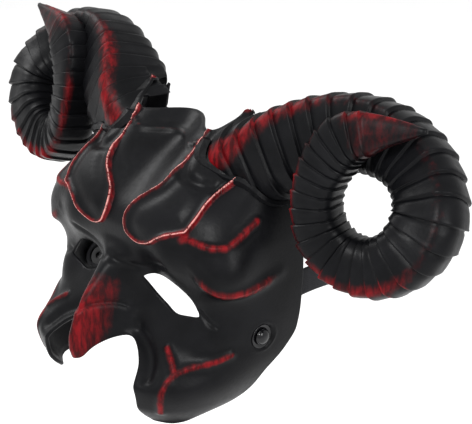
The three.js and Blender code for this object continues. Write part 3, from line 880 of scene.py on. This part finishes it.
def cushion(name, front, rear, material, piping, seed):
    """Stuffed pad between two facing grids of points, rounded to a piped seam round its edge."""
    n, m = front.shape[:2]
    u, v = np.meshgrid(np.linspace(-1, 1, n), np.linspace(-1, 1, m), indexing="ij")
    full = np.sqrt(np.clip((1 - np.abs(u) ** 7) * (1 - np.abs(v) ** 5), 0, 1))
    rng = np.random.default_rng(seed)
    pucker = sum(a * np.sin(k * u * 3.1 + b) * np.sin(k * v * 2.3 + c) for k, (a, b, c) in
                 enumerate(rng.uniform(-1, 1, (7, 3)) * [0.035, 3, 3], 2))
    full = full * (0.96 + pucker * (1 - full))
    middle = (front + rear) / 2
    top, low = middle + (front - middle) * full[..., None], middle + (rear - middle) * full[..., None]
    points = np.vstack([top.reshape(-1, 3), low.reshape(-1, 3)])
    faces, shift = [], n * m
    for i in range(n - 1):
        for j in range(m - 1):
            a, b, c, d = i * m + j, (i + 1) * m + j, (i + 1) * m + j + 1, i * m + j + 1
            faces += [(a, b, c, d), (a + shift, d + shift, c + shift, b + shift)]
    rim = ([i * m for i in range(n)] + [(n - 1) * m + j for j in range(1, m)]
           + [i * m + m - 1 for i in range(n - 2, -1, -1)] + [j for j in range(m - 2, 0, -1)])
    obj = new_object(name, points, faces, material)
    weld(obj)
    cord = np.array([middle.reshape(-1, 3)[i] for i in rim])
    seam = tube(name + "_piping", cord, 0.75, piping)
    return obj, seam


def weld(obj):
    bm = bmesh.new()
    bm.from_mesh(obj.data)
    bmesh.ops.remove_doubles(bm, verts=bm.verts, dist=1e-6)
    bmesh.ops.recalc_face_normals(bm, faces=bm.faces)
    bm.to_mesh(obj.data)
    bm.free()


def tube(name, loop, radius, material, around=10):
    """Closed cord round a loop of points."""
    t = unit(np.roll(loop, -1, axis=0) - np.roll(loop, 1, axis=0))
    side = unit(np.cross(t, [0.0, 1.0, 0.02]))
    other = np.cross(t, side)
    a = np.linspace(0, 2 * math.pi, around, endpoint=False)
    rings = (loop[:, None, :] + side[:, None, :] * (np.cos(a) * radius)[None, :, None]
             + other[:, None, :] * (np.sin(a) * radius)[None, :, None])
    count = len(loop)
    faces = [(i * around + j, i * around + (j + 1) % around, (i + 1) % count * around + (j + 1) % around,
              (i + 1) % count * around + j) for i in range(count) for j in range(around)]
    obj = new_object(name, rings.reshape(-1, 3), faces, material)
    weld(obj)
    return obj


def rounded_square(n, m):
    """Grid over a square with its corners drawn in."""
    u, v = np.meshgrid(np.linspace(-1, 1, n), np.linspace(-1, 1, m), indexing="ij")
    return u * np.sqrt(1 - 0.22 * v**2 * u**2), v * np.sqrt(1 - 0.22 * u**2 * v**2)


def inside_y(x, z, off):
    """y of the shell, moved in by off, at places seen from the front."""
    out = np.empty(x.shape)
    for j, height in enumerate(z[0]):
        skin = face_off(ACROSS, np.full_like(ACROSS, height), np.full_like(ACROSS, -off))
        top = int(np.argmax(skin[:, 0]))
        out[:, j] = np.interp(np.abs(x[:, j]), skin[:top + 1, 0], skin[:top + 1, 1])
    return out


def forehead_pad(material, piping):
    u, v = rounded_square(61, 31)
    x, z = u * 32.2, 25 + v * 12.2
    level = np.broadcast_to(z[30:31, :], z.shape)
    front = np.stack([x, inside_y(x, level, SHELL + 1.2), z], -1)
    rear = np.stack([x, np.full_like(x, REST[1]), z], -1)
    for obj in cushion("brow_cushion", front, rear, material, piping, 3):
        finish_pad(obj, "forehead_pad", "mask")


def finish_pad(obj, node, body):
    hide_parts(node)
    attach(obj, body)


def cheek_pads(material, piping):
    u, v = rounded_square(45, 37)
    z = -54 + v * 11.3
    inner = np.interp(z, [-66, -42], [0.47, 0.49])
    outer = np.interp(z, [-66, -42], [0.68, 0.66])
    f = (inner + outer) / 2 + (outer - inner) / 2 * u
    front = face_off(f, z, np.full_like(f, -SHELL - 1.7))
    rear = face_off(f, z, np.full_like(f, -SHELL - 7.3))
    for obj in cushion("cheek_cushion_left", front, rear, material, piping, 5):
        twin = mirror_copy(obj, obj.name.replace("left", "right"))
        finish_pad(obj, "cheek_pad_left", "mask")
        finish_pad(twin, "cheek_pad_right", "mask")


# ---------------------------------------------------------------- materials
class Nodes:
    """Short names for building one node material."""

    def __init__(self, name):
        self.material = bpy.data.materials.new(name)
        self.material.use_nodes = True
        self.tree = self.material.node_tree
        self.shader = self.tree.nodes["Principled BSDF"]

    def add(self, kind, **settings):
        node = self.tree.nodes.new(kind)
        for key, value in settings.items():
            setattr(node, key, value)
        return node

    def link(self, source, target):
        self.tree.links.new(source, target)

    def coords(self, scale):
        where = self.add("ShaderNodeTexCoord")
        move = self.add("ShaderNodeMapping")
        move.inputs["Scale"].default_value = scale
        self.link(where.outputs["Object"], move.inputs["Vector"])
        return move.outputs["Vector"]

    def noise(self, size, detail=4.0, rough=0.55, stretch=(1, 1, 1)):
        """Noise with features about size metres across."""
        node = self.add("ShaderNodeTexNoise")
        node.inputs["Scale"].default_value = 1 / size
        node.inputs["Detail"].default_value = detail
        node.inputs["Roughness"].default_value = rough
        self.link(self.coords(stretch), node.inputs["Vector"])
        return node.outputs["Fac"]

    def attribute(self, name):
        return self.add("ShaderNodeAttribute", attribute_name=name).outputs["Fac"]

    def math(self, how, a, b=None, c=None):
        node = self.add("ShaderNodeMath", operation=how)
        for socket, value in zip(node.inputs, (a, b, c)):
            if value is None:
                continue
            if isinstance(value, (int, float)):
                socket.default_value = value
            else:
                self.link(value, socket)
        return node.outputs[0]

    def remap(self, value, low, high, to_low=0.0, to_high=1.0):
        node = self.add("ShaderNodeMapRange", clamp=True, interpolation_type="SMOOTHSTEP")
        self.link(value, node.inputs["Value"])
        for key, number in (("From Min", low), ("From Max", high), ("To Min", to_low), ("To Max", to_high)):
            node.inputs[key].default_value = number
        return node.outputs["Result"]

    def mix(self, fac, a, b):
        node = self.add("ShaderNodeMix", data_type="RGBA")
        self.link(fac, node.inputs["Factor"])
        for key, value in (("A", a), ("B", b)):
            socket = [s for s in node.inputs if s.name == key and s.type == "RGBA"][0]
            if isinstance(value, tuple):
                socket.default_value = (*value, 1)
            else:
                self.link(value, socket)
        return [s for s in node.outputs if s.type == "RGBA"][0]

    def bump(self, height, strength, distance):
        node = self.add("ShaderNodeBump")
        node.inputs["Strength"].default_value = strength
        node.inputs["Distance"].default_value = distance
        self.link(height, node.inputs["Height"])
        self.link(node.outputs["Normal"], self.shader.inputs["Normal"])


def brushed_black(name, grain):
    """Black satin plastic with dark red dry-brushed where the mesh says, and a pale pink painted highlight on
    its edges.
    """
    m = Nodes(name)
    broad = m.noise(0.03, 5)
    speck = m.noise(0.0035, 6, 0.65)
    streak = m.noise(0.004, 5, 0.6, (1.0, 1.0, 0.22))
    black = m.mix(m.remap(broad, 0.3, 0.7), (0.0022, 0.0023, 0.0028), (0.005, 0.0051, 0.006))
    broken = m.math("ADD", m.math("MULTIPLY", speck, 0.55), m.math("MULTIPLY", streak, 0.45))
    wanted = m.math("ADD", m.math("MULTIPLY", m.attribute("red"), 1.0), m.math("MULTIPLY", broken, 0.7))
    red = m.remap(wanted, 0.62, 1.4)
    shade = m.mix(m.remap(streak, 0.35, 0.65), (0.035, 0.0008, 0.0015), (0.16, 0.0035, 0.006))
    painted = m.mix(red, black, shade)
    # Painted highlight: pale pink mixed into the colour where the edge attribute is high.
    painted_highlight = m.remap(m.math("ADD", m.attribute("edge"), m.math("MULTIPLY", speck, 0.3)), 0.85, 1.2)
    m.link(m.mix(painted_highlight, painted, (0.72, 0.33, 0.3)), m.shader.inputs["Base Color"])
    m.link(m.remap(m.math("ADD", speck, m.math("MULTIPLY", red, 0.3)), 0.3, 1.0, 0.33, 0.5),
           m.shader.inputs["Roughness"])
    m.shader.inputs["Specular IOR Level"].default_value = 0.09
    m.bump(m.math("ADD", m.noise(grain, 4), m.math("MULTIPLY", speck, 0.6)), 0.22, 0.0004)
    return m.material


def plain_look(name, colour, rough, metal=0.0, grain=0.0006, depth=0.00005):
    m = Nodes(name)
    mark = m.noise(grain, 5, 0.6)
    wide = m.noise(0.012, 3)
    darker = tuple(0.7 * c for c in colour)
    m.link(m.mix(m.remap(wide, 0.3, 0.7), darker, colour), m.shader.inputs["Base Color"])
    m.link(m.remap(mark, 0.3, 0.7, rough * 0.8, rough * 1.25), m.shader.inputs["Roughness"])
    m.shader.inputs["Metallic"].default_value = metal
    m.shader.inputs["Specular IOR Level"].default_value = 0.3 if not metal else 0.5
    m.bump(mark, 0.2, depth)
    return m.material


def woven(name, colour, pitch):
    """Cloth of crossed threads, pitch metres apart, with a little fuzz."""
    m = Nodes(name)
    waves = []
    for axis in ("X", "Y", "Z"):
        wave = m.add("ShaderNodeTexWave", wave_type="BANDS", bands_direction=axis)
        wave.inputs["Scale"].default_value = 1 / pitch / 3.14
        wave.inputs["Distortion"].default_value = 0.6
        m.link(m.coords((1, 1, 1)), wave.inputs["Vector"])
        waves.append(wave.outputs["Fac"])
    thread = m.math("MAXIMUM", m.math("MAXIMUM", waves[0], waves[1]), waves[2])
    fuzz = m.noise(0.0012, 5, 0.7)
    shade = m.math("ADD", m.math("MULTIPLY", thread, 0.5), m.math("MULTIPLY", fuzz, 0.5))
    darker = tuple(0.45 * c for c in colour)
    m.link(m.mix(m.remap(shade, 0.3, 0.9), darker, colour), m.shader.inputs["Base Color"])
    m.shader.inputs["Roughness"].default_value = 0.9
    m.shader.inputs["Specular IOR Level"].default_value = 0.15
    m.shader.inputs["Sheen Weight"].default_value = 0.15
    m.bump(shade, 0.5, 0.0002)
    return m.material



# ---------------------------------------------------------------- camera, light and floor
def look_at(obj, target):
    obj.rotation_euler = (Vector(target) - obj.location).to_track_quat("-Z", "Y").to_euler()


def camera():
    target = Vector((0, 0.082, -0.025))
    data = bpy.data.cameras.new("camera")
    data.lens, data.sensor_width = 114.41, 36
    cam = bpy.data.objects.new("camera", data)
    cam.location = target + Vector((0.681, -0.622, 0.3875)).normalized()
    look_at(cam, target)
    bpy.context.scene.collection.objects.link(cam)
    bpy.context.scene.camera = cam


def lamp(name, place, size, watts, target=(0, 0, 0)):
    data = bpy.data.lights.new(name, "AREA")
    data.shape, data.size, data.size_y, data.energy = "RECTANGLE", size[0], size[1], watts
    obj = bpy.data.objects.new(name, data)
    obj.location = place
    look_at(obj, target)
    bpy.context.scene.collection.objects.link(obj)


def studio():
    scene = bpy.context.scene
    scene.view_settings.view_transform = "Standard"
    world = bpy.data.worlds.new("studio")
    world.use_nodes = True
    world.node_tree.nodes["Background"].inputs["Color"].default_value = (1, 1, 1, 1)
    world.node_tree.nodes["Background"].inputs["Strength"].default_value = 0.97
    scene.world = world
    lamp("key", (0.3, -1.1, 1.0), (0.5, 0.35), 15)
    lamp("rim", (-1.1, -0.2, 0.9), (0.5, 0.8), 10)
    lamp("side", (1.2, -0.1, 0.5), (0.3, 0.6), 7)


def floor():
    m = Nodes("pale_floor")
    m.link(m.mix(m.remap(m.noise(0.2, 3), 0.3, 0.7), (0.93, 0.93, 0.93), (0.96, 0.96, 0.96)),
           m.shader.inputs["Base Color"])
    m.shader.inputs["Roughness"].default_value = 0.9
    points = [(-6000, -6000, -420), (6000, -6000, -420), (6000, 6000, -420), (-6000, 6000, -420)]
    obj = new_object("floor", points, [(0, 1, 2, 3)], m.material, smooth=False)


mask_look = brushed_black("mask_black", 0.0018)
horn_look = brushed_black("horn_black", 0.0024)
camera()
studio()
floor()
mask_skin(mask_look)
horns(horn_look)
horn_seats(mask_look)
snap_caps(plain_look("cap_gloss", (0.004, 0.004, 0.005), 0.14))
plain_fittings(plain_look("zinc_steel", (0.55, 0.55, 0.57), 0.3, 1.0),
               plain_look("moulded_black", (0.009, 0.009, 0.01), 0.4))
straps(woven("elastic_weave", (0.018, 0.018, 0.021), 0.0009))
cloth = woven("pad_cloth", (0.03, 0.03, 0.033), 0.0007)
piping = woven("pad_piping", (0.012, 0.012, 0.014), 0.0005)
forehead_pad(cloth, piping)
cheek_pads(cloth, piping)
